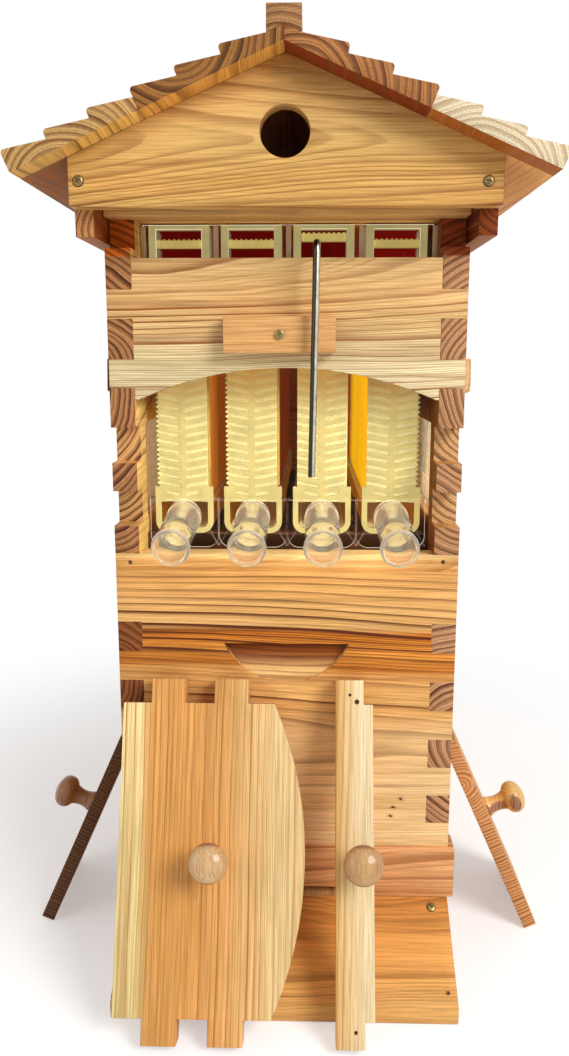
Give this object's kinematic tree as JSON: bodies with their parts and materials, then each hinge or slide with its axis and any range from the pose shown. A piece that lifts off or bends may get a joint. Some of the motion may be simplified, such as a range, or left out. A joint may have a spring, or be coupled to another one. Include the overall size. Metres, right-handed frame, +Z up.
{
  "type": "observation beehive",
  "caption": "Wooden beehive with shingled gable roof, arched harvest window, key-lifted comb frames, clear honey tubes and leaning wooden covers with knobs.",
  "frame": {"origin": "on the floor under the middle of the boxes, on the underside of the floor bearer", "axes": "+Z up, -Y towards the landing board and harvest window, +X to the right as seen from the front"},
  "size_m": [0.465, 0.6926, 0.7552],
  "materials": {
    "fir": "oiled, strong grain",
    "roof_fir": "oiled, milled shingle steps",
    "cover_fir": "oiled, strong grain",
    "beech": "turned and lacquered",
    "plywood": "plain",
    "frame_pine": "plain",
    "wax": "wax sheet",
    "comb_plastic": "pale moulded comb",
    "clear_plastic": "clear moulded plastic",
    "steel": "plated wire and screws"
  },
  "bodies": {
    "base": {"base_side_left": "fir", "base_side_right": "fir", "base_cross_boards": "fir", "landing_board": "fir", "floor_board": "fir", "rim_front": "fir", "rim_rear": "fir", "rim_left": "fir", "rim_right": "fir"},
    "brood": {"brood_front": "fir", "brood_rear": "fir", "brood_left": "fir", "brood_right": "fir", "brood_frames": "frame_pine", "brood_foundations": "wax", "queen_excluder": "steel"},
    "super": {"super_front": "fir", "super_rail": "fir", "super_rear": "fir", "super_left": "fir", "super_right": "fir", "side_panes": "clear_plastic", "turn_screws": "steel", "clear_end_covers": "clear_plastic", "frame_rests": "fir", "harvest_frame_1": "comb_plastic", "harvest_frame_2": "comb_plastic", "harvest_frame_3": "comb_plastic", "harvest_frame_4": "comb_plastic"},
    "inner_cover": {"inner_cover": "plywood"},
    "roof": {"gable_front": "roof_fir", "gable_rear": "roof_fir", "roof_rail_left": "roof_fir", "roof_rail_right": "roof_fir", "roof_cleats": "roof_fir", "roof_slat_upper_left": "roof_fir", "roof_slat_upper_right": "roof_fir", "roof_slat_lower_left": "roof_fir", "roof_slat_lower_right": "roof_fir", "ridge_cap": "roof_fir"},
    "front_turn_block": {"front_turn_block": "cover_fir"},
    "left_turn_block": {"left_turn_block": "cover_fir"},
    "right_turn_block": {"right_turn_block": "cover_fir"},
    "key": {"harvest_key": "steel"},
    "arch_cover": {"arch_cover": "cover_fir", "arch_cover_knob": "beech"},
    "access_strip": {"access_strip": "cover_fir", "access_strip_knob": "beech"},
    "side_cover_left": {"side_cover_left": "cover_fir", "side_cover_left_knob": "beech"},
    "side_cover_right": {"side_cover_right": "cover_fir", "side_cover_right_knob": "beech"},
    "comb_1": {"lifting_comb_1": "comb_plastic"},
    "tube_1": {"honey_tube_1": "clear_plastic"},
    "comb_2": {"lifting_comb_2": "comb_plastic"},
    "tube_2": {"honey_tube_2": "clear_plastic"},
    "comb_3": {"lifting_comb_3": "comb_plastic"},
    "tube_3": {"honey_tube_3": "clear_plastic"},
    "comb_4": {"lifting_comb_4": "comb_plastic"},
    "tube_4": {"honey_tube_4": "clear_plastic"}
  },
  "joints": [
    {"name": "brood_lift", "type": "slide", "parent": "base", "child": "brood", "axis": [0, 0, 1], "range_m": [0, 0.25]},
    {"name": "super_lift", "type": "slide", "parent": "brood", "child": "super", "axis": [0, 0, 1], "range_m": [0, 0.25]},
    {"name": "inner_cover_lift", "type": "slide", "parent": "super", "child": "inner_cover", "axis": [0, 0, 1], "range_m": [0, 0.1]},
    {"name": "roof_lift", "type": "slide", "parent": "inner_cover", "child": "roof", "axis": [0, 0, 1], "range_m": [0, 0.25]},
    {"name": "front_block_turn", "type": "hinge", "parent": "super", "child": "front_turn_block", "pos_m": [-0.005, -0.2615, 0.5419], "axis": [0, -1, 0], "continuous": true},
    {"name": "left_block_turn", "type": "hinge", "parent": "super", "child": "left_turn_block", "pos_m": [-0.1475, -0.15, 0.5049], "axis": [-1, 0, 0], "continuous": true},
    {"name": "right_block_turn", "type": "hinge", "parent": "super", "child": "right_turn_block", "pos_m": [0.1475, -0.15, 0.5049], "axis": [1, 0, 0], "continuous": true},
    {"name": "key_turn", "type": "hinge", "parent": "super", "child": "key", "pos_m": [0.02325, -0.23, 0.6086], "axis": [0, 1, 0], "range_deg": [0, 85]},
    {"name": "comb_1_lift", "type": "slide", "parent": "super", "child": "comb_1", "axis": [0, 0, 1], "range_m": [0, 0.005]},
    {"name": "comb_2_lift", "type": "slide", "parent": "super", "child": "comb_2", "axis": [0, 0, 1], "range_m": [0, 0.005]},
    {"name": "comb_4_lift", "type": "slide", "parent": "super", "child": "comb_4", "axis": [0, 0, 1], "range_m": [0, 0.005]},
    {"name": "comb_3_lift", "type": "slide", "parent": "super", "child": "comb_3", "axis": [0, 0, 1], "range_m": [-0.005, 0]},
    {"name": "tube_1_pull", "type": "slide", "parent": "super", "child": "tube_1", "axis": [0, -0.9925, -0.1219], "range_m": [0, 0.1]},
    {"name": "tube_2_pull", "type": "slide", "parent": "super", "child": "tube_2", "axis": [0, -0.9925, -0.1219], "range_m": [0, 0.1]},
    {"name": "tube_3_pull", "type": "slide", "parent": "super", "child": "tube_3", "axis": [0, -0.9925, -0.1219], "range_m": [0, 0.1]},
    {"name": "tube_4_pull", "type": "slide", "parent": "super", "child": "tube_4", "axis": [0, -0.9925, -0.1219], "range_m": [0, 0.1]},
    {"name": "arch_cover_draw", "type": "slide", "parent": "base", "child": "arch_cover", "axis": [0, -1, 0], "range_m": [0, 0.15]},
    {"name": "access_strip_draw", "type": "slide", "parent": "base", "child": "access_strip", "axis": [0, -1, 0], "range_m": [0, 0.15]},
    {"name": "side_cover_left_draw", "type": "slide", "parent": "base", "child": "side_cover_left", "axis": [-1, 0, 0], "range_m": [0, 0.15]},
    {"name": "side_cover_right_draw", "type": "slide", "parent": "base", "child": "side_cover_right", "axis": [1, 0, 0], "range_m": [0, 0.15]}
  ],
  "couplings": [
    {"joint": "key_turn", "follows": "comb_3_lift", "rad_per_m": -296.7}
  ]
}
